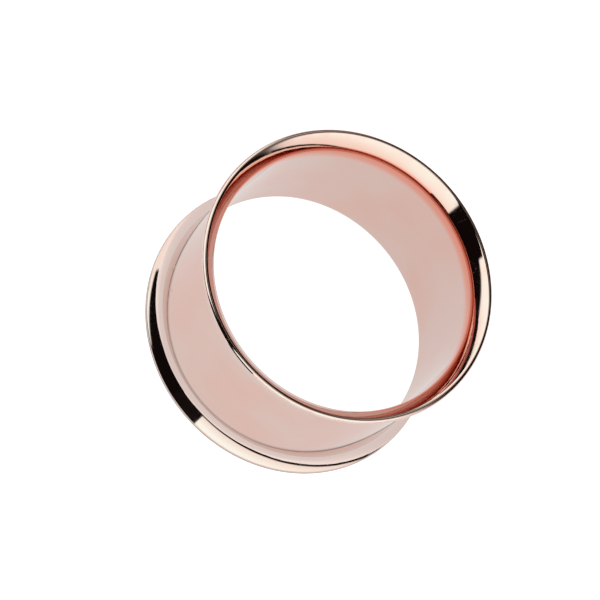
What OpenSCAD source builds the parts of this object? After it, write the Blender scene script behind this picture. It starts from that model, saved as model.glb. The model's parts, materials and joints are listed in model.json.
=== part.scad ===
// Ear tunnel, double flared: one turned ring of steel with a straight open bore,
// a groove for the ear lobe between two trumpet flares, and rounded rims.
// It lies flat on one rim, with the axis of the bore upright and the origin
// in the middle of the circle that the lower rim rests on.

/* [Size] */
// Diameter of the groove that the ear lobe sits in, the size it is sold by
groove_d = 22; // [10:0.5:50]
// Length from rim to rim
length = 13.4; // [10:0.2:24]
// Thickness of the straight wall between bore and groove
wall_t = 0.5; // [0.3:0.05:0.8]

/* [Flares] */
// Height of the rims above the groove, on the radius
flare_rise = 0.9; // [0.7:0.05:1.6]
// Thickness of the rounded rim of each flare
rim_t = 0.52; // [0.3:0.02:0.6]
// Slope of the flare at its rim on the groove side, from the axis in degrees
groove_rim_slope = 45; // [40:1:50]
// Slope of the flare at its rim on the bore side, from the axis in degrees
bore_rim_slope = 46; // [42:1:52]

/* [Roots] */
// Radius of the hollow where the groove turns up into a flare
groove_root_r = 1.3; // [0.8:0.1:2.2]
// Slope at which that hollow ends, from the axis in degrees
groove_root_slope = 33; // [20:1:36]
// Radius of the rounding where the bore opens into a flare
bore_root_r = 1.2; // [0.4:0.1:1.6]
// Slope at which that rounding ends, from the axis in degrees
bore_root_slope = 36; // [24:1:38]

/* [Hidden] */
$fn = 180;
groove_r = groove_d / 2;
bore_r = groove_r - wall_t;
rim_r = groove_r + flare_rise;
lip_r = rim_t / 2;
// Furthest that the steps of an arc stray from it
arc_error = 0.002;

// The section is drawn as [radius, height above the rim that it stands on].
// Unit vector in it, at an angle from the radius
function dir(angle) = [cos(angle), sin(angle)];

// Points along an arc from one angle to another. It leaves out its first point,
// because that is the last point of the arc before it.
function arc(centre, radius, from, to) =
    let (widest_step = 2 * acos(1 - arc_error / radius),
         steps = ceil(abs(to - from) / widest_step))
    [for (i = [1:steps]) centre + radius * dir(from + (to - from) * i / steps)];

// Middle of the rounded lip
lip_c = [rim_r - lip_r, lip_r];

// The two arcs of one side of a flare, each as [centre, radius]. The root arc leaves
// the straight wall along the axis and turns to root_slope. The wide arc goes on from
// there to rim_slope and meets the lip without a corner. Both have their centres on
// the outer side. facing is 1 for the side of the groove and -1 for that of the bore.
function side_arcs(wall_r, root_r, root_slope, rim_slope, facing) =
    let (end = lip_c + facing * lip_r * dir(rim_slope),
         joint_r = wall_r + root_r * (1 - cos(root_slope)),
         wide_r = (end.x - joint_r) / (cos(root_slope) - cos(rim_slope)),
         wide_c = end + wide_r * dir(rim_slope),
         root_c = wide_c - (wide_r - root_r) * dir(root_slope))
    [[root_c, root_r], [wide_c, wide_r]];

bore_arcs = side_arcs(bore_r, bore_root_r, bore_root_slope, bore_rim_slope, -1);
groove_arcs = side_arcs(groove_r, groove_root_r, groove_root_slope, groove_rim_slope, 1);

// Outline of the lower flare, from the wall of the bore round the lip to the groove.
// The lip is split at its lowest and at its outermost point, so that it reaches both.
lower_flare = concat(
    [[bore_r, bore_arcs[0][0].y]],
    arc(bore_arcs[0][0], bore_arcs[0][1], 180, 180 + bore_root_slope),
    arc(bore_arcs[1][0], bore_arcs[1][1], 180 + bore_root_slope, 180 + bore_rim_slope),
    arc(lip_c, lip_r, 180 + bore_rim_slope, 270),
    arc(lip_c, lip_r, 270, 360),
    arc(lip_c, lip_r, 0, groove_rim_slope),
    arc(groove_arcs[1][0], groove_arcs[1][1], 180 + groove_rim_slope, 180 + groove_root_slope),
    arc(groove_arcs[0][0], groove_arcs[0][1], 180 + groove_root_slope, 180));

// The upper flare is the lower one turned over, and goes from the groove to the bore
upper_flare = [for (i = [len(lower_flare) - 1:-1:0])
    [lower_flare[i].x, length - lower_flare[i].y]];

// The tunnel: its section turned about the axis of the bore
module tunnel() {
    color([0.9, 0.64, 0.575])
        rotate_extrude()
            polygon(concat(lower_flare, upper_flare));
}

tunnel();
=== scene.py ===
"""Ear tunnel in mirror-polished rose gold, on a pale glowing table in a soft studio.

The ring is one surface of revolution, worked out from its section. It stands for the
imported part's only node. Its looks are its reflections, so the studio is laid out round
it: a softbox on each side, dark walls behind, black flags and four hung cards.
"""

import json
from math import cos, radians, sin
from typing import NamedTuple

import bpy
import numpy as np
from bpy.props import FloatProperty, FloatVectorProperty, IntProperty, PointerProperty
from mathutils import Matrix, Vector


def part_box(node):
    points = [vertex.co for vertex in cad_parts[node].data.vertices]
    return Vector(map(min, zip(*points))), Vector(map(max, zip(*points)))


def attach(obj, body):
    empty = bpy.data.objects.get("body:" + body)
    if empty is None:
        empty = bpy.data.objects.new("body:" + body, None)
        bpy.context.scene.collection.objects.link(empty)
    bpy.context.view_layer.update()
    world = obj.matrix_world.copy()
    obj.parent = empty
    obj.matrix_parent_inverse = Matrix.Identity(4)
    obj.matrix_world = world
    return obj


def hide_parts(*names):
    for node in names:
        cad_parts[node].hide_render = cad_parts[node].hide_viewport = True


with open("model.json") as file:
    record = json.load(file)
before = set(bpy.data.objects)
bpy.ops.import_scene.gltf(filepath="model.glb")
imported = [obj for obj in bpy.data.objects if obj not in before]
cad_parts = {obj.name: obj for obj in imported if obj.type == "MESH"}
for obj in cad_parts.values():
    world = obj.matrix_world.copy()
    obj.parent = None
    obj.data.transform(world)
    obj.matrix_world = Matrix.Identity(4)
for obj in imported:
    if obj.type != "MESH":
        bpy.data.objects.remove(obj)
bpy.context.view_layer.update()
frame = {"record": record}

bl_info = {
    "name": "Ear tunnel",
    "version": (1, 0, 0),
    "blender": (4, 5, 0),
    "location": "3D View > Sidebar > Ear tunnel",
    "description": "Turns an ear tunnel from its section and sets a soft studio round it",
    "category": "Add Mesh",
}

NODE = "tunnel"
MM = 0.001
HALF_TURN = radians(180)
# Faces along each arc and each straight wall of the section
ROOT_STEPS = 24
WIDE_STEPS = 16
LIP_STEPS = 40
WALL_STEPS = 9
# Most reflections that are followed, one in another
MOST_BOUNCES = 16
LOWEST, HIGHEST = (Vector(corner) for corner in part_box(NODE))
MOUNT_RADIUS = {m["name"]: m["dims"]["r_mm"] * MM for m in frame["record"]["mounts"]}


class TunnelShape(bpy.types.PropertyGroup):
    """Sizes of the ring's section"""

    rim_radius: FloatProperty(
        name="Rim radius", description="Radius of the outermost circle of each rim",
        default=(HIGHEST.x - LOWEST.x) / 2, unit="LENGTH", precision=5)
    length: FloatProperty(
        name="Length", description="Length from rim to rim",
        default=HIGHEST.z - LOWEST.z, unit="LENGTH", precision=5)
    bore_radius: FloatProperty(
        name="Bore radius", description="Radius of the straight bore",
        default=MOUNT_RADIUS["bore"], unit="LENGTH", precision=5)
    groove_radius: FloatProperty(
        name="Groove radius", description="Radius of the groove that the ear lobe sits in",
        default=MOUNT_RADIUS["lobe_groove"], unit="LENGTH", precision=5)
    lip_radius: FloatProperty(
        name="Lip radius", description="Radius of the rounding along each rim",
        default=0.26 * MM, unit="LENGTH", precision=5)
    bore_root_radius: FloatProperty(
        name="Bore root radius", description="Radius of the rounding where the bore opens into a flare",
        default=1.2 * MM, unit="LENGTH", precision=5)
    bore_root_slope: FloatProperty(
        name="Bore root slope", description="Slope from the axis at which that rounding ends",
        default=radians(36), subtype="ANGLE")
    bore_rim_slope: FloatProperty(
        name="Bore rim slope", description="Slope from the axis of the flare's inner side at its rim",
        default=radians(46), subtype="ANGLE")
    groove_root_radius: FloatProperty(
        name="Groove root radius", description="Radius of the hollow where the groove turns into a flare",
        default=1.3 * MM, unit="LENGTH", precision=5)
    groove_root_slope: FloatProperty(
        name="Groove root slope", description="Slope from the axis at which that hollow ends",
        default=radians(33), subtype="ANGLE")
    groove_rim_slope: FloatProperty(
        name="Groove rim slope", description="Slope from the axis of the flare's outer side at its rim",
        default=radians(45), subtype="ANGLE")
    segments: IntProperty(
        name="Segments", description="Faces round the ring", default=360, min=24)


class TunnelFinish(bpy.types.PropertyGroup):
    """Colours and polish of the rose gold coating, with its painted reflection tints"""

    colour: FloatVectorProperty(
        name="Colour", description="Colour that the coating gives a reflection straight on",
        default=(0.79, 0.56, 0.5), subtype="COLOR", min=0, max=1)
    # Painted reflection: the bore's root band takes this colour to deepen the red of the light bouncing
    # there
    tint_and_painted_red_colour: FloatVectorProperty(
        name="Deep colour",
        description="Colour of the thicker coating, where the bore turns into the upper flare",
        default=(0.86, 0.34, 0.25), subtype="COLOR", min=0, max=1)
    # Painted reflection in the groove's roots, paler to soften the red of the light bouncing there; along
    # the rims, real wear
    wear_and_painted_pale_colour: FloatVectorProperty(
        name="Thin colour", description="Colour in the roots of the groove and along worn rims",
        default=(0.79, 0.62, 0.57), subtype="COLOR", min=0, max=1)
    polish: FloatProperty(
        name="Polish", description="Roughness of the cleanest polish",
        default=0.03, subtype="FACTOR", min=0, max=1)
    haze: FloatProperty(
        name="Haze", description="Roughness that handling adds in soft clouds",
        default=0.025, subtype="FACTOR", min=0, max=1)
    scratch: FloatProperty(
        name="Scratch", description="Roughness that a hairline scratch adds",
        default=0.14, subtype="FACTOR", min=0, max=1)
    line_width: FloatProperty(
        name="Line width", description="Width of the polishing lines that run round the ring",
        default=0.11 * MM, unit="LENGTH", precision=6)
    relief: FloatProperty(
        name="Relief", description="Height of the polishing lines and depth of the scratches",
        default=0.0006 * MM, unit="LENGTH", precision=9)


class TunnelStudio(bpy.types.PropertyGroup):
    """Light and table"""

    ceiling_colour: FloatVectorProperty(
        name="Ceiling colour", description="Light that the ceiling sends down",
        default=(0.69, 0.67, 0.64), subtype="COLOR", min=0, max=4)
    wall_colour: FloatVectorProperty(
        name="Wall colour", description="Light that the wall behind the ring sends back",
        default=(0.18, 0.17, 0.16), subtype="COLOR", min=0, max=4)
    softbox_colour: FloatVectorProperty(
        name="Softbox colour", description="Light of the middle of the softboxes",
        default=(1.23, 1.52, 1.46), subtype="COLOR", min=0, max=4)
    softbox_edge_colour: FloatVectorProperty(
        name="Softbox edge colour", description="Light of the lower edge of the softboxes",
        default=(1.14, 1.16, 1.1), subtype="COLOR", min=0, max=4)
    flag_colour: FloatVectorProperty(
        name="Flag colour", description="Light that the black cloth sends back",
        default=(0.006, 0.004, 0.004), subtype="COLOR", min=0, max=4)
    warm_card_colour: FloatVectorProperty(
        name="Warm card colour", description="Light that the dull red card sends back",
        default=(0.46, 0.14, 0.12), subtype="COLOR", min=0, max=4)
    table_colour: FloatVectorProperty(
        name="Table colour", description="Colour that the table sends back",
        default=(0.15, 0.15, 0.15), subtype="COLOR", min=0, max=1)
    table_glow: FloatProperty(
        name="Table glow", description="Brightness of the light from under the table, close to the ring",
        default=0.76, min=0)
    outer_glow: FloatProperty(
        name="Outer glow", description="Brightness of that light well away from the ring",
        default=0.87, min=0)
    table_gloss: FloatProperty(
        name="Table gloss", description="Strength of the table's soft mirror image of the studio",
        default=0.4, subtype="FACTOR", min=0, max=1)
    table_roughness: FloatProperty(
        name="Table roughness", description="Roughness of the table, which softens that mirror image",
        default=0.55, subtype="FACTOR", min=0, max=1)
    contact_shade: FloatProperty(
        name="Contact shade", description="Share of that light that the ring keeps off where it rests",
        default=0.9, subtype="FACTOR", min=0, max=1)
    contact_reach: FloatProperty(
        name="Contact reach", description="How far that shade reaches to either side",
        default=0.64 * MM, unit="LENGTH", precision=5)
    backdrop_glow: FloatProperty(
        name="Backdrop glow", description="Brightness of the table as the picture's white background",
        default=1.1, min=0)
    table_radius: FloatProperty(
        name="Table radius", description="Radius of the round table", default=4.0, unit="LENGTH")


class TunnelCamera(bpy.types.PropertyGroup):
    """Where the camera stands, worked out from the photographed rims"""

    tilt: FloatProperty(
        name="Tilt", description="Angle between the axis of the bore and the line to the camera",
        default=radians(28.65), subtype="ANGLE")
    roll: FloatProperty(
        name="Roll", description="Turn of the camera about its line of sight, from upright",
        default=radians(48.61), subtype="ANGLE")
    distance: FloatProperty(
        name="Distance", description="From the middle of the upper rim to the camera",
        default=0.494, unit="LENGTH")
    lens: FloatProperty(
        name="Lens", description="Focal length on a 36 mm sensor", default=387.2, unit="CAMERA")
    rim_x: FloatProperty(
        name="Rim across", description="Where the upper rim's middle shows, as a share of the width",
        default=349.11 / 600)
    rim_y: FloatProperty(
        name="Rim down", description="Where the upper rim's middle shows, as a share of its height",
        default=274.87 / 600)


class Arc(NamedTuple):
    """An arc of the section, drawn as radius and height, with its angles from the radius.

    outwards is 1 where the metal bulges and -1 where it is hollow.
    """

    centre: np.ndarray
    radius: float
    start: float
    end: float
    steps: int
    outwards: int


def direction(angle):
    """Unit vector of the section at an angle from the radius."""
    return np.array([cos(angle), sin(angle)])


def flare_side(wall_radius, root_radius, root_slope, rim_slope, lip_centre, lip_radius, facing):
    """Root arc and wide arc of one side of a flare, as (centre, radius) pairs.

    The root arc leaves the straight wall along the axis and turns to root_slope. The wide
    arc goes on to rim_slope, where it meets the lip without a corner. Its radius is the
    rise that is left over the difference of the two slopes' cosines.
    """
    end = lip_centre + facing * lip_radius * direction(rim_slope)
    joint = wall_radius + root_radius * (1 - cos(root_slope))
    wide_radius = (end[0] - joint) / (cos(root_slope) - cos(rim_slope))
    wide_centre = end + wide_radius * direction(rim_slope)
    root_centre = wide_centre - (wide_radius - root_radius) * direction(root_slope)
    return (root_centre, root_radius), (wide_centre, wide_radius)


def flare_arcs(shape):
    """The arcs of the lower flare, from the bore's wall round the lip to the groove's."""
    lip = np.array([shape.rim_radius - shape.lip_radius, shape.lip_radius])
    bore_root, bore_wide = flare_side(
        shape.bore_radius, shape.bore_root_radius, shape.bore_root_slope,
        shape.bore_rim_slope, lip, shape.lip_radius, -1)
    groove_root, groove_wide = flare_side(
        shape.groove_radius, shape.groove_root_radius, shape.groove_root_slope,
        shape.groove_rim_slope, lip, shape.lip_radius, 1)
    bore_joint = HALF_TURN + shape.bore_root_slope
    bore_lip = HALF_TURN + shape.bore_rim_slope
    groove_lip = HALF_TURN + shape.groove_rim_slope
    groove_joint = HALF_TURN + shape.groove_root_slope
    return (
        Arc(*bore_root, HALF_TURN, bore_joint, ROOT_STEPS, 1),
        Arc(*bore_wide, bore_joint, bore_lip, WIDE_STEPS, 1),
        Arc(lip, shape.lip_radius, bore_lip, HALF_TURN + groove_lip, LIP_STEPS, 1),
        Arc(*groove_wide, groove_lip, groove_joint, WIDE_STEPS, -1),
        Arc(*groove_root, groove_joint, HALF_TURN, ROOT_STEPS, -1),
    )


def section(shape):
    """Points and outward normals of the closed section, anticlockwise as radius and height.

    A point of an arc is its centre plus its radius times the direction of its angle, and
    its normal is that direction, turned round on a hollow side. The upper flare is the
    lower one turned over, and a straight wall joins them on either side.
    """
    points, normals = [], []
    for arc in flare_arcs(shape):
        angle = np.linspace(arc.start, arc.end, arc.steps + 1)[1 if points else 0:]
        ray = np.stack([np.cos(angle), np.sin(angle)], axis=1)
        points.append(arc.centre + arc.radius * ray)
        normals.append(arc.outwards * ray)
    lower, lower_normal = np.concatenate(points), np.concatenate(normals)
    upper = lower[::-1] * (1, -1) + (0, shape.length)
    upper_normal = lower_normal[::-1] * (1, -1)
    share = np.linspace(0, 1, WALL_STEPS + 1)[1:-1, None]
    groove_wall = lower[-1] + (upper[0] - lower[-1]) * share
    bore_wall = upper[-1] + (lower[0] - upper[-1]) * share
    groove_normal = np.tile((1.0, 0.0), (len(share), 1))
    points = np.concatenate([lower, groove_wall, upper, bore_wall])
    normals = np.concatenate([lower_normal, groove_normal, upper_normal, -groove_normal])
    return points, normals


def turned_mesh(name, points, normals, segments):
    """Mesh of a closed section turned once about the Z axis, with its normals and its UV map.

    The point at section step i and turn j lies at the section's radius times the cosine
    and sine of the turn's angle, at the section's height. U is the share of the turn, and
    V the length along the section, in metres.
    """
    rows = len(points)
    angle = np.linspace(0, 2 * np.pi, segments, endpoint=False)
    turn = np.stack([np.cos(angle), np.sin(angle)], axis=1)

    def sweep(pairs):
        flat = pairs[:, None, :1] * turn[None]
        height = np.broadcast_to(pairs[:, None, 1:], (rows, segments, 1))
        return np.concatenate([flat, height], axis=2).reshape(-1, 3)

    i, j = np.meshgrid(np.arange(rows), np.arange(segments), indexing="ij")
    across, along = (i + 1) % rows, (j + 1) % segments
    corners = [(i, j), (i, along), (across, along), (across, j)]
    faces = np.stack([a * segments + b for a, b in corners], axis=-1).reshape(-1, 4)

    steps = np.linalg.norm(np.roll(points, -1, axis=0) - points, axis=1)
    length = np.concatenate([[0.0], np.cumsum(steps)])
    u = np.stack([j, j + 1, j + 1, j], axis=-1) / segments
    v = np.stack([length[i], length[i], length[i + 1], length[i + 1]], axis=-1)

    mesh = bpy.data.meshes.new(name)
    mesh.from_pydata(sweep(points).tolist(), [], faces.tolist())
    mesh.shade_smooth()
    mesh.uv_layers.new(name="turned").data.foreach_set("uv", np.stack([u, v], axis=-1).ravel())
    mesh.normals_split_custom_set_from_vertices(sweep(normals).tolist())
    return mesh


def store_on_points(mesh, name, values, segments):
    """Stores a value for each point of the section on the mesh, the same all round."""
    attribute = mesh.attributes.new(name, "FLOAT", "POINT")
    attribute.data.foreach_set("value", np.repeat(values, segments))


def mark_wear_and_painted_tints(mesh, points, normals, shape):
    """Stores how far each point counts as rim, as bore root and as groove root.

    Along a rim, and where the groove's root joins the wide arc of a flare, the value is 1
    at one place in the section and falls in a straight line with the distance from it.
    Where the bore turns into the upper flare it is 1 all along the rounding and a band
    down the bore, and falls over a short way on either side. The roots only count on
    their own side of the wall, told by the normal.
    """
    folded = np.column_stack([points[:, 0], np.minimum(points[:, 1], shape.length - points[:, 1])])
    bore_root, _, lip, _, groove_root = flare_arcs(shape)

    def near(arc, angle, reach):
        goal = arc.centre + arc.radius * direction(angle)
        return np.clip(1 - np.linalg.norm(folded - goal, axis=1) / reach, 0, 1)

    rim_reach = 3 * lip.radius
    groove_reach = 1.5 * MM
    flare_fade = 0.15 * MM
    bore_band = 0.35 * MM
    bore_fade = 0.4 * MM
    flare_end = (bore_root.centre + bore_root.radius * direction(bore_root.end))[1]
    band_end = bore_root.centre[1] + bore_band
    depths = [flare_end - flare_fade, flare_end, band_end, band_end + bore_fade]
    rounding = np.interp(shape.length - points[:, 1], depths, [0, 1, 1, 0])
    groove_joint = near(groove_root, groove_root.start, groove_reach)
    store_on_points(mesh, "rim", near(lip, 0, rim_reach), shape.segments)
    # Bore root: where the colour is painted redder, a painted reflection
    store_on_points(mesh, "bore_root", rounding * (normals[:, 0] < 0), shape.segments)
    # Groove root: where the colour is painted paler, a painted reflection
    store_on_points(mesh, "groove_root", groove_joint * (normals[:, 0] > 0), shape.segments)


def math_node(tree, operation, *values):
    """Adds a Math node whose inputs are numbers or sockets, and returns its output."""
    node = tree.nodes.new("ShaderNodeMath")
    node.operation = operation
    for socket, value in zip(node.inputs, values):
        if isinstance(value, bpy.types.NodeSocket):
            tree.links.new(value, socket)
        else:
            socket.default_value = value
    return node.outputs["Value"]


def smooth_step(tree, value, low, high, at_low=0.0, at_high=1.0):
    """Adds a smooth step from at_low, below low, to at_high, above high, and returns it."""
    node = tree.nodes.new("ShaderNodeMapRange")
    node.interpolation_type = "SMOOTHSTEP"
    tree.links.new(value, node.inputs["Value"])
    node.inputs["From Min"].default_value = low
    node.inputs["From Max"].default_value = high
    node.inputs["To Min"].default_value = at_low
    node.inputs["To Max"].default_value = at_high
    return node.outputs["Result"]


def mix_colours(tree, share, first, second):
    """Adds a mix of two colours, given as tuples or sockets, and returns it."""
    node = tree.nodes.new("ShaderNodeMix")
    node.data_type = "RGBA"
    tree.links.new(share, node.inputs["Factor"])
    for name, colour in (("A", first), ("B", second)):
        if isinstance(colour, bpy.types.NodeSocket):
            tree.links.new(colour, node.inputs[name])
        else:
            node.inputs[name].default_value = (*colour, 1)
    return node.outputs["Result"]


def lumps(tree, place, size, detail=2.0):
    """Adds a noise of 0 to 1 whose lumps are about size metres wide, and returns it."""
    node = tree.nodes.new("ShaderNodeTexNoise")
    tree.links.new(place, node.inputs["Vector"])
    node.inputs["Scale"].default_value = 1 / size
    node.inputs["Detail"].default_value = detail
    return node.outputs["Fac"]


def polishing_lines(tree, place, width):
    """Fine lines round the ring: noise over radius and height alone, drifting a little."""
    split = tree.nodes.new("ShaderNodeSeparateXYZ")
    tree.links.new(place, split.inputs[0])
    squares = [math_node(tree, "MULTIPLY", split.outputs[axis], split.outputs[axis]) for axis in "XY"]
    radius = math_node(tree, "SQRT", math_node(tree, "ADD", *squares))
    drift_length = 50 * width
    drift_width = 6 * width
    drift = lumps(tree, place, drift_length, 0)
    section_place = tree.nodes.new("ShaderNodeCombineXYZ")
    tree.links.new(radius, section_place.inputs["X"])
    tree.links.new(math_node(tree, "MULTIPLY", drift, drift_width), section_place.inputs["Y"])
    tree.links.new(split.outputs["Z"], section_place.inputs["Z"])
    return lumps(tree, section_place.outputs["Vector"], width, 1)


def hairlines(tree, place):
    """Sparse hairline scratches: where a smooth noise crosses its middle, broken up by patches."""
    stretched = tree.nodes.new("ShaderNodeMapping")
    tree.links.new(place, stretched.inputs["Vector"])
    stretched.inputs["Rotation"].default_value = (0.4, 0.3, 0.7)
    stretched.inputs["Scale"].default_value = (1, 1, 0.35)
    scratch_spacing = 1.6 * MM
    patch_size = 2.3 * MM
    noise = lumps(tree, stretched.outputs["Vector"], scratch_spacing, 0)
    off_middle = math_node(tree, "ABSOLUTE", math_node(tree, "SUBTRACT", noise, 0.5))
    line = smooth_step(tree, off_middle, 0.002, 0.009, 1, 0)
    patches = smooth_step(tree, lumps(tree, place, patch_size, 1), 0.52, 0.6)
    return math_node(tree, "MULTIPLY", line, patches)


def stored(tree, name):
    """Adds an Attribute node for a value stored on the mesh, and returns its output."""
    node = tree.nodes.new("ShaderNodeAttribute")
    node.attribute_name = name
    return node.outputs["Fac"]


def rose_gold(finish):
    """Mirror-polished rose gold coating on steel.

    Polishing lines and hairline scratches give the bump. Haze and scratches roughen it.
    The colour is painted redder where the bore opens into the upper flare and paler in the
    roots of the groove: painted reflection tints that deepen and soften the red of the light
    bouncing there. It is also paler where the rims are worn.
    """
    material = bpy.data.materials.new("rose gold")
    material.use_nodes = True
    tree = material.node_tree
    shader = tree.nodes["Principled BSDF"]
    shader.inputs["Metallic"].default_value = 1
    place = tree.nodes.new("ShaderNodeTexCoord").outputs["Object"]
    scratches = hairlines(tree, place)
    cloud_size = 3.2 * MM
    wear_size = 0.7 * MM
    tint_size = 5 * MM
    most_tint = 0.2
    clouds = smooth_step(tree, lumps(tree, place, cloud_size, 3), 0.4, 0.68)
    patches = smooth_step(tree, lumps(tree, place, wear_size, 3), 0.35, 0.6)
    worn = math_node(tree, "MULTIPLY", stored(tree, "rim"), patches)

    tint = smooth_step(tree, lumps(tree, place, tint_size, 1), 0.3, 0.7, 0, most_tint)
    # Painted reflection in the bore's root band, mixed with a random tint
    tint_and_painted_red_share = math_node(tree, "MAXIMUM", smooth_step(tree, stored(tree, "bore_root"), 0, 1), tint)
    # Painted reflection in the groove's roots, with real wear along the rims
    wear_and_painted_pale_share = math_node(tree, "MAXIMUM", smooth_step(tree, stored(tree, "groove_root"), 0, 0.6), worn)
    colour = mix_colours(tree, tint_and_painted_red_share, finish.colour, finish.tint_and_painted_red_colour)
    tree.links.new(mix_colours(tree, wear_and_painted_pale_share, colour, finish.wear_and_painted_pale_colour), shader.inputs["Base Color"])

    hazy = math_node(tree, "MULTIPLY_ADD", clouds, finish.haze, finish.polish)
    scratched = math_node(tree, "MULTIPLY_ADD", scratches, finish.scratch, hazy)
    roughness = math_node(tree, "MULTIPLY_ADD", worn, 2 * finish.haze, scratched)
    tree.links.new(roughness, shader.inputs["Roughness"])

    bump = tree.nodes.new("ShaderNodeBump")
    bump.inputs["Distance"].default_value = finish.relief
    lines = polishing_lines(tree, place, finish.line_width)
    tree.links.new(math_node(tree, "SUBTRACT", lines, scratches), bump.inputs["Height"])
    tree.links.new(bump.outputs["Normal"], shader.inputs["Normal"])
    return material


class TUNNEL_OT_turn_ring(bpy.types.Operator):
    """Turn the ring from its section and give it the rose gold finish"""

    bl_idname = "ear_tunnel.turn_ring"
    bl_label = "Turn the ring"

    def execute(self, context):
        shape = context.scene.ear_tunnel_shape
        points, normals = section(shape)
        mesh = turned_mesh("ring", points, normals, shape.segments)
        mark_wear_and_painted_tints(mesh, points, normals, shape)
        mesh.materials.append(rose_gold(context.scene.ear_tunnel_finish))
        ring = bpy.data.objects.new("ring", mesh)
        context.scene.collection.objects.link(ring)
        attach(ring, "root")
        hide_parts(NODE)
        return {"FINISHED"}


class Panel(NamedTuple):
    """A softbox, a wall or a black cloth of the studio as the ring sees it, in degrees.

    Azimuths count from the camera's side and grow towards +X. The top edge climbs by
    slant for each degree of azimuth from the middle. A later panel hangs before the ones
    above it. colour names the property that holds its light.
    """

    name: str
    middle: float
    half_width: float
    bottom: float
    top: float
    slant: float
    blur: float
    colour: str


PANELS = (
    Panel("far wall", 172, 62, -5, 45, 0, 4, "wall_colour"),
    Panel("dark wall", 141, 33, -5, 45, 0, 9, "flag_colour"),
    Panel("tall dark wall", 152, 20, -5, 80, 0, 5, "flag_colour"),
    Panel("door", 180, 14, -5, 62, 0, 4, "flag_colour"),
    Panel("right softbox", 40, 64, -5, 70, 0, 14, "softbox_edge_colour"),
    Panel("right softbox's middle", 40, 60, 15, 70, 0, 10, "softbox_colour"),
    Panel("left softbox", -85, 50, -5, 70, 0, 4, "softbox_edge_colour"),
    Panel("left softbox's middle", -85, 50, 12, 70, 0, 6, "softbox_colour"),
    Panel("skirting", 52, 55, -5, 4.5, 0, 1, "flag_colour"),
    Panel("far skirting", 168, 62, -8, 9, 0, 7, "flag_colour"),
    Panel("canopy", -120, 76, 67, 95, 0, 3, "flag_colour"),
    Panel("low flag", -65, 21, -5, 14.2, 0.4, 1.5, "flag_colour"),
    Panel("flag", -29, 17, -5, 86, 0, 1, "flag_colour"),
)


class Card(NamedTuple):
    """An upright card beside the ring, where only reflections show it, in rim radii.

    start and end are its two lower corners as seen from above. colour names the property
    that holds its light.
    """

    name: str
    start: tuple
    end: tuple
    bottom: float
    top: float
    colour: str


CARDS = (
    Card("near_card", (-1, -4), (0.34, -4), 0.2, 1.9, "flag_colour"),
    Card("rim_card", (-0.6, -1.8), (0.155, -1.8), 1.13, 1.64, "flag_colour"),
    Card("side_card", (-4, 3.2), (-4, -1.4), 1.47, 1.9, "flag_colour"),
    Card("warm_card", (-4, 3.2), (-4, -1.4), 0.9, 1.47, "warm_card_colour"),
)


def panel_group():
    """Node group that puts out how much of a direction a panel covers, with blurred edges."""
    group = bpy.data.node_groups.new("studio panel", "ShaderNodeTree")
    for name in ("Azimuth", "Elevation", "Middle", "Half width", "Bottom", "Top", "Slant", "Blur"):
        group.interface.new_socket(name, in_out="INPUT", socket_type="NodeSocketFloat")
    group.interface.new_socket("Cover", in_out="OUTPUT", socket_type="NodeSocketFloat")
    given = group.nodes.new("NodeGroupInput").outputs
    off_middle = math_node(group, "SUBTRACT", given["Azimuth"], given["Middle"])
    turned = math_node(group, "WRAP", off_middle, 180.0, -180.0)
    past_side = math_node(group, "SUBTRACT", math_node(group, "ABSOLUTE", turned), given["Half width"])
    top = math_node(group, "MULTIPLY_ADD", turned, given["Slant"], given["Top"])
    past_top = math_node(group, "SUBTRACT", given["Elevation"], top)
    past_bottom = math_node(group, "SUBTRACT", given["Bottom"], given["Elevation"])

    def inside(past_edge):
        return smooth_step(group, math_node(group, "DIVIDE", past_edge, given["Blur"]), -1, 1, 1, 0)

    between = math_node(group, "MULTIPLY", inside(past_top), inside(past_bottom))
    cover = math_node(group, "MULTIPLY", inside(past_side), between)
    group.links.new(cover, group.nodes.new("NodeGroupOutput").inputs["Cover"])
    return group


def studio_world(studio):
    """World that lights the ring: a pale ceiling with the panels hung before it.

    The picture itself shows it as white.
    """
    world = bpy.data.worlds.new("studio")
    world.use_nodes = True
    tree = world.node_tree
    background = tree.nodes["Background"]
    way = tree.nodes.new("ShaderNodeSeparateXYZ")
    tree.links.new(tree.nodes.new("ShaderNodeTexCoord").outputs["Generated"], way.inputs[0])
    forwards = math_node(tree, "MULTIPLY", way.outputs["Y"], -1.0)
    azimuth = math_node(tree, "DEGREES", math_node(tree, "ARCTAN2", way.outputs["X"], forwards))
    elevation = math_node(tree, "DEGREES", math_node(tree, "ARCSINE", way.outputs["Z"]))
    group = panel_group()
    light = studio.ceiling_colour
    for panel in PANELS:
        cover = tree.nodes.new("ShaderNodeGroup")
        cover.node_tree = group
        cover.label = panel.name
        tree.links.new(azimuth, cover.inputs["Azimuth"])
        tree.links.new(elevation, cover.inputs["Elevation"])
        cover.inputs["Middle"].default_value = panel.middle
        cover.inputs["Half width"].default_value = panel.half_width
        cover.inputs["Bottom"].default_value = panel.bottom
        cover.inputs["Top"].default_value = panel.top
        cover.inputs["Slant"].default_value = panel.slant
        cover.inputs["Blur"].default_value = panel.blur
        light = mix_colours(tree, cover.outputs["Cover"], light, getattr(studio, panel.colour))
    to_camera = tree.nodes.new("ShaderNodeLightPath").outputs["Is Camera Ray"]
    tree.links.new(mix_colours(tree, to_camera, light, (1, 1, 1)), background.inputs["Color"])
    return world


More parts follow.
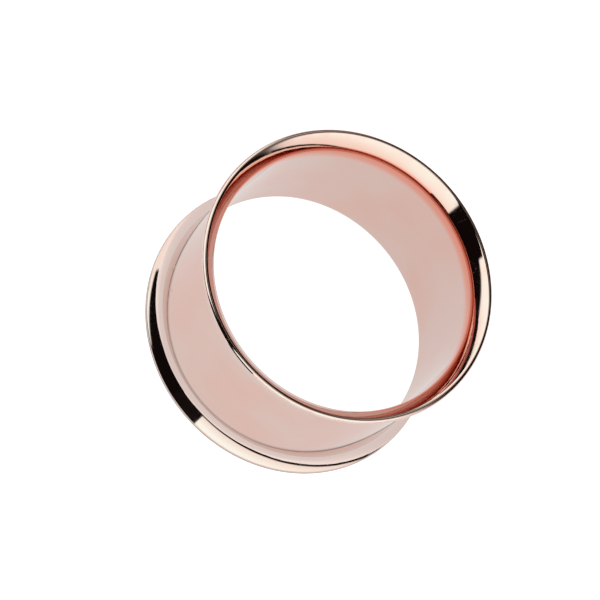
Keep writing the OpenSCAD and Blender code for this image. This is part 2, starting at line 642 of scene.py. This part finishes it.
def table_material(studio, shape):
    """White table lit from under it, dimmer close to the ring and shaded where it rests.

    The picture itself shows the table as an even white background.
    """
    material = bpy.data.materials.new("table")
    material.use_nodes = True
    tree = material.node_tree
    shader = tree.nodes["Principled BSDF"]
    shader.inputs["Base Color"].default_value = (*studio.table_colour, 1)
    shader.inputs["Specular IOR Level"].default_value = studio.table_gloss
    shader.inputs["Roughness"].default_value = studio.table_roughness
    shader.inputs["Emission Color"].default_value = (1, 1, 1, 1)
    length = tree.nodes.new("ShaderNodeVectorMath")
    length.operation = "LENGTH"
    tree.links.new(tree.nodes.new("ShaderNodeTexCoord").outputs["Object"], length.inputs[0])
    away = length.outputs["Value"]
    inner = 1.4 * shape.rim_radius
    outer = 2.4 * shape.rim_radius
    glow = smooth_step(tree, away, inner, outer, studio.table_glow, studio.outer_glow)
    off_contact = math_node(tree, "ABSOLUTE", math_node(
        tree, "SUBTRACT", away, shape.rim_radius - shape.lip_radius))
    reach = studio.contact_reach
    lit = smooth_step(tree, off_contact, 0.5 * reach, reach, 1 - studio.contact_shade, 1)
    reflected = math_node(tree, "MULTIPLY", glow, lit)
    to_camera = tree.nodes.new("ShaderNodeLightPath").outputs["Is Camera Ray"]
    added = math_node(tree, "SUBTRACT", studio.backdrop_glow, reflected)
    shown = math_node(tree, "MULTIPLY_ADD", to_camera, added, reflected)
    tree.links.new(shown, shader.inputs["Emission Strength"])
    return material


def card_material(studio):
    """Cloth that glows unevenly with painted light, standing for the light it sends back; each card
    stores its own.
    """
    material = bpy.data.materials.new("card_cloth")
    material.use_nodes = True
    tree = material.node_tree
    shader = tree.nodes["Principled BSDF"]
    shader.inputs["Base Color"].default_value = (*studio.flag_colour, 1)
    shader.inputs["Specular IOR Level"].default_value = 0
    # The stored value is the painted light that the card glows with
    card_glow = tree.nodes.new("ShaderNodeAttribute")
    card_glow.attribute_name = "card_glow"
    tree.links.new(card_glow.outputs["Color"], shader.inputs["Emission Color"])
    place = tree.nodes.new("ShaderNodeTexCoord").outputs["Object"]
    # Painted uneven light over the cloth, in lumps of this size
    uneven_glow_size = 4 * MM
    uneven = smooth_step(tree, lumps(tree, place, uneven_glow_size), 0, 1, 0.8, 1.2)
    tree.links.new(uneven, shader.inputs["Emission Strength"])
    return material


def hung_card(card, light, material, unit):
    """Upright card that the camera doesn't see, with the light that it glows with stored on it."""
    lower = [(*card.start, card.bottom), (*card.end, card.bottom)]
    upper = [(*card.end, card.top), (*card.start, card.top)]
    mesh = bpy.data.meshes.new(card.name)
    mesh.from_pydata((unit * np.array(lower + upper)).tolist(), [], [(3, 2, 1, 0)])
    card_glow = mesh.attributes.new("card_glow", "FLOAT_COLOR", "POINT")
    card_glow.data.foreach_set("color", np.tile((*light, 1), 4))
    mesh.materials.append(material)
    item = bpy.data.objects.new(card.name, mesh)
    item.visible_camera = False
    return item


def table_mesh(radius, rings=8, sides=96):
    """Round table top at height 0: rings whose radius grows with the square of the step."""
    reach = radius * (np.arange(1, rings + 1) / rings) ** 2
    angle = np.linspace(0, 2 * np.pi, sides, endpoint=False)
    flat = reach[:, None, None] * np.stack([np.cos(angle), np.sin(angle)], axis=1)
    points = np.zeros((rings * sides + 1, 3))
    points[1:, :2] = flat.reshape(-1, 2)
    i, j = np.meshgrid(np.arange(rings - 1), np.arange(sides), indexing="ij")
    corners = [(i, j), (i + 1, j), (i + 1, (j + 1) % sides), (i, (j + 1) % sides)]
    quads = np.stack([1 + a * sides + b for a, b in corners], axis=-1).reshape(-1, 4)
    j = np.arange(sides)
    middle = np.stack([np.zeros_like(j), 1 + j, 1 + (j + 1) % sides], axis=-1)
    mesh = bpy.data.meshes.new("table")
    mesh.from_pydata(points.tolist(), [], middle.tolist() + quads.tolist())
    return mesh


def place_camera(view, scene):
    """Camera at the photograph's angle, turned so that the upper rim shows where it should."""
    backwards = Vector((0, -sin(view.tilt), cos(view.tilt)))
    axis_up = Vector((0, cos(view.tilt), sin(view.tilt)))
    side = Vector((1, 0, 0))
    right = cos(view.roll) * side + sin(view.roll) * axis_up
    up = cos(view.roll) * axis_up - sin(view.roll) * side
    camera = bpy.data.cameras.new("camera")
    camera.sensor_width = 36
    camera.lens = view.lens
    camera.clip_start = 0.01
    picture_width = camera.sensor_width / camera.lens
    aim = (backwards * view.distance
           + right * (view.rim_x - 0.5) * picture_width * view.distance
           - up * (view.rim_y - 0.5) * picture_width * view.distance).normalized()
    right = up.cross(aim).normalized()
    turn = Matrix((right, aim.cross(right), aim)).transposed().to_4x4()
    holder = bpy.data.objects.new("camera", camera)
    rim_middle = Vector((0, 0, scene.ear_tunnel_shape.length))
    holder.matrix_world = Matrix.Translation(rim_middle + view.distance * backwards) @ turn
    scene.collection.objects.link(holder)
    scene.camera = holder


class TUNNEL_OT_set_stage(bpy.types.Operator):
    """Set the table, the studio light and the camera"""

    bl_idname = "ear_tunnel.set_stage"
    bl_label = "Set the stage"

    def execute(self, context):
        scene = context.scene
        studio = scene.ear_tunnel_studio
        unit = scene.ear_tunnel_shape.rim_radius
        cloth = card_material(studio)
        cards = [hung_card(card, getattr(studio, card.colour), cloth, unit) for card in CARDS]
        mesh = table_mesh(studio.table_radius)
        mesh.materials.append(table_material(studio, scene.ear_tunnel_shape))
        table = bpy.data.objects.new("table", mesh)
        for item in (table, *cards):
            scene.collection.objects.link(item)
        scene.world = studio_world(studio)
        scene.view_settings.view_transform = "Standard"
        scene.cycles.max_bounces = MOST_BOUNCES
        scene.cycles.glossy_bounces = MOST_BOUNCES
        scene.cycles.caustics_reflective = False
        scene.cycles.use_denoising = True
        place_camera(scene.ear_tunnel_camera, scene)
        return {"FINISHED"}


class TUNNEL_PT_sidebar(bpy.types.Panel):
    """Panel in the 3D view's sidebar"""

    bl_idname = "TUNNEL_PT_sidebar"
    bl_label = "Ear tunnel"
    bl_space_type = "VIEW_3D"
    bl_region_type = "UI"
    bl_category = "Ear tunnel"

    def draw(self, context):
        for group in GROUPS:
            settings = getattr(context.scene, group)
            column = self.layout.column(heading=settings.bl_rna.description)
            for name in settings.__annotations__:
                column.prop(settings, name)
        self.layout.operator(TUNNEL_OT_turn_ring.bl_idname)
        self.layout.operator(TUNNEL_OT_set_stage.bl_idname)


GROUPS = {
    "ear_tunnel_shape": TunnelShape,
    "ear_tunnel_finish": TunnelFinish,
    "ear_tunnel_studio": TunnelStudio,
    "ear_tunnel_camera": TunnelCamera,
}
CLASSES = (*GROUPS.values(), TUNNEL_OT_turn_ring, TUNNEL_OT_set_stage, TUNNEL_PT_sidebar)


def register():
    for cls in CLASSES:
        bpy.utils.register_class(cls)
    for name, group in GROUPS.items():
        setattr(bpy.types.Scene, name, PointerProperty(type=group))


def unregister():
    for name in GROUPS:
        delattr(bpy.types.Scene, name)
    for cls in reversed(CLASSES):
        bpy.utils.unregister_class(cls)


def main():
    register()
    bpy.ops.ear_tunnel.set_stage()
    bpy.ops.ear_tunnel.turn_ring()


if __name__ == "__main__":
    main()
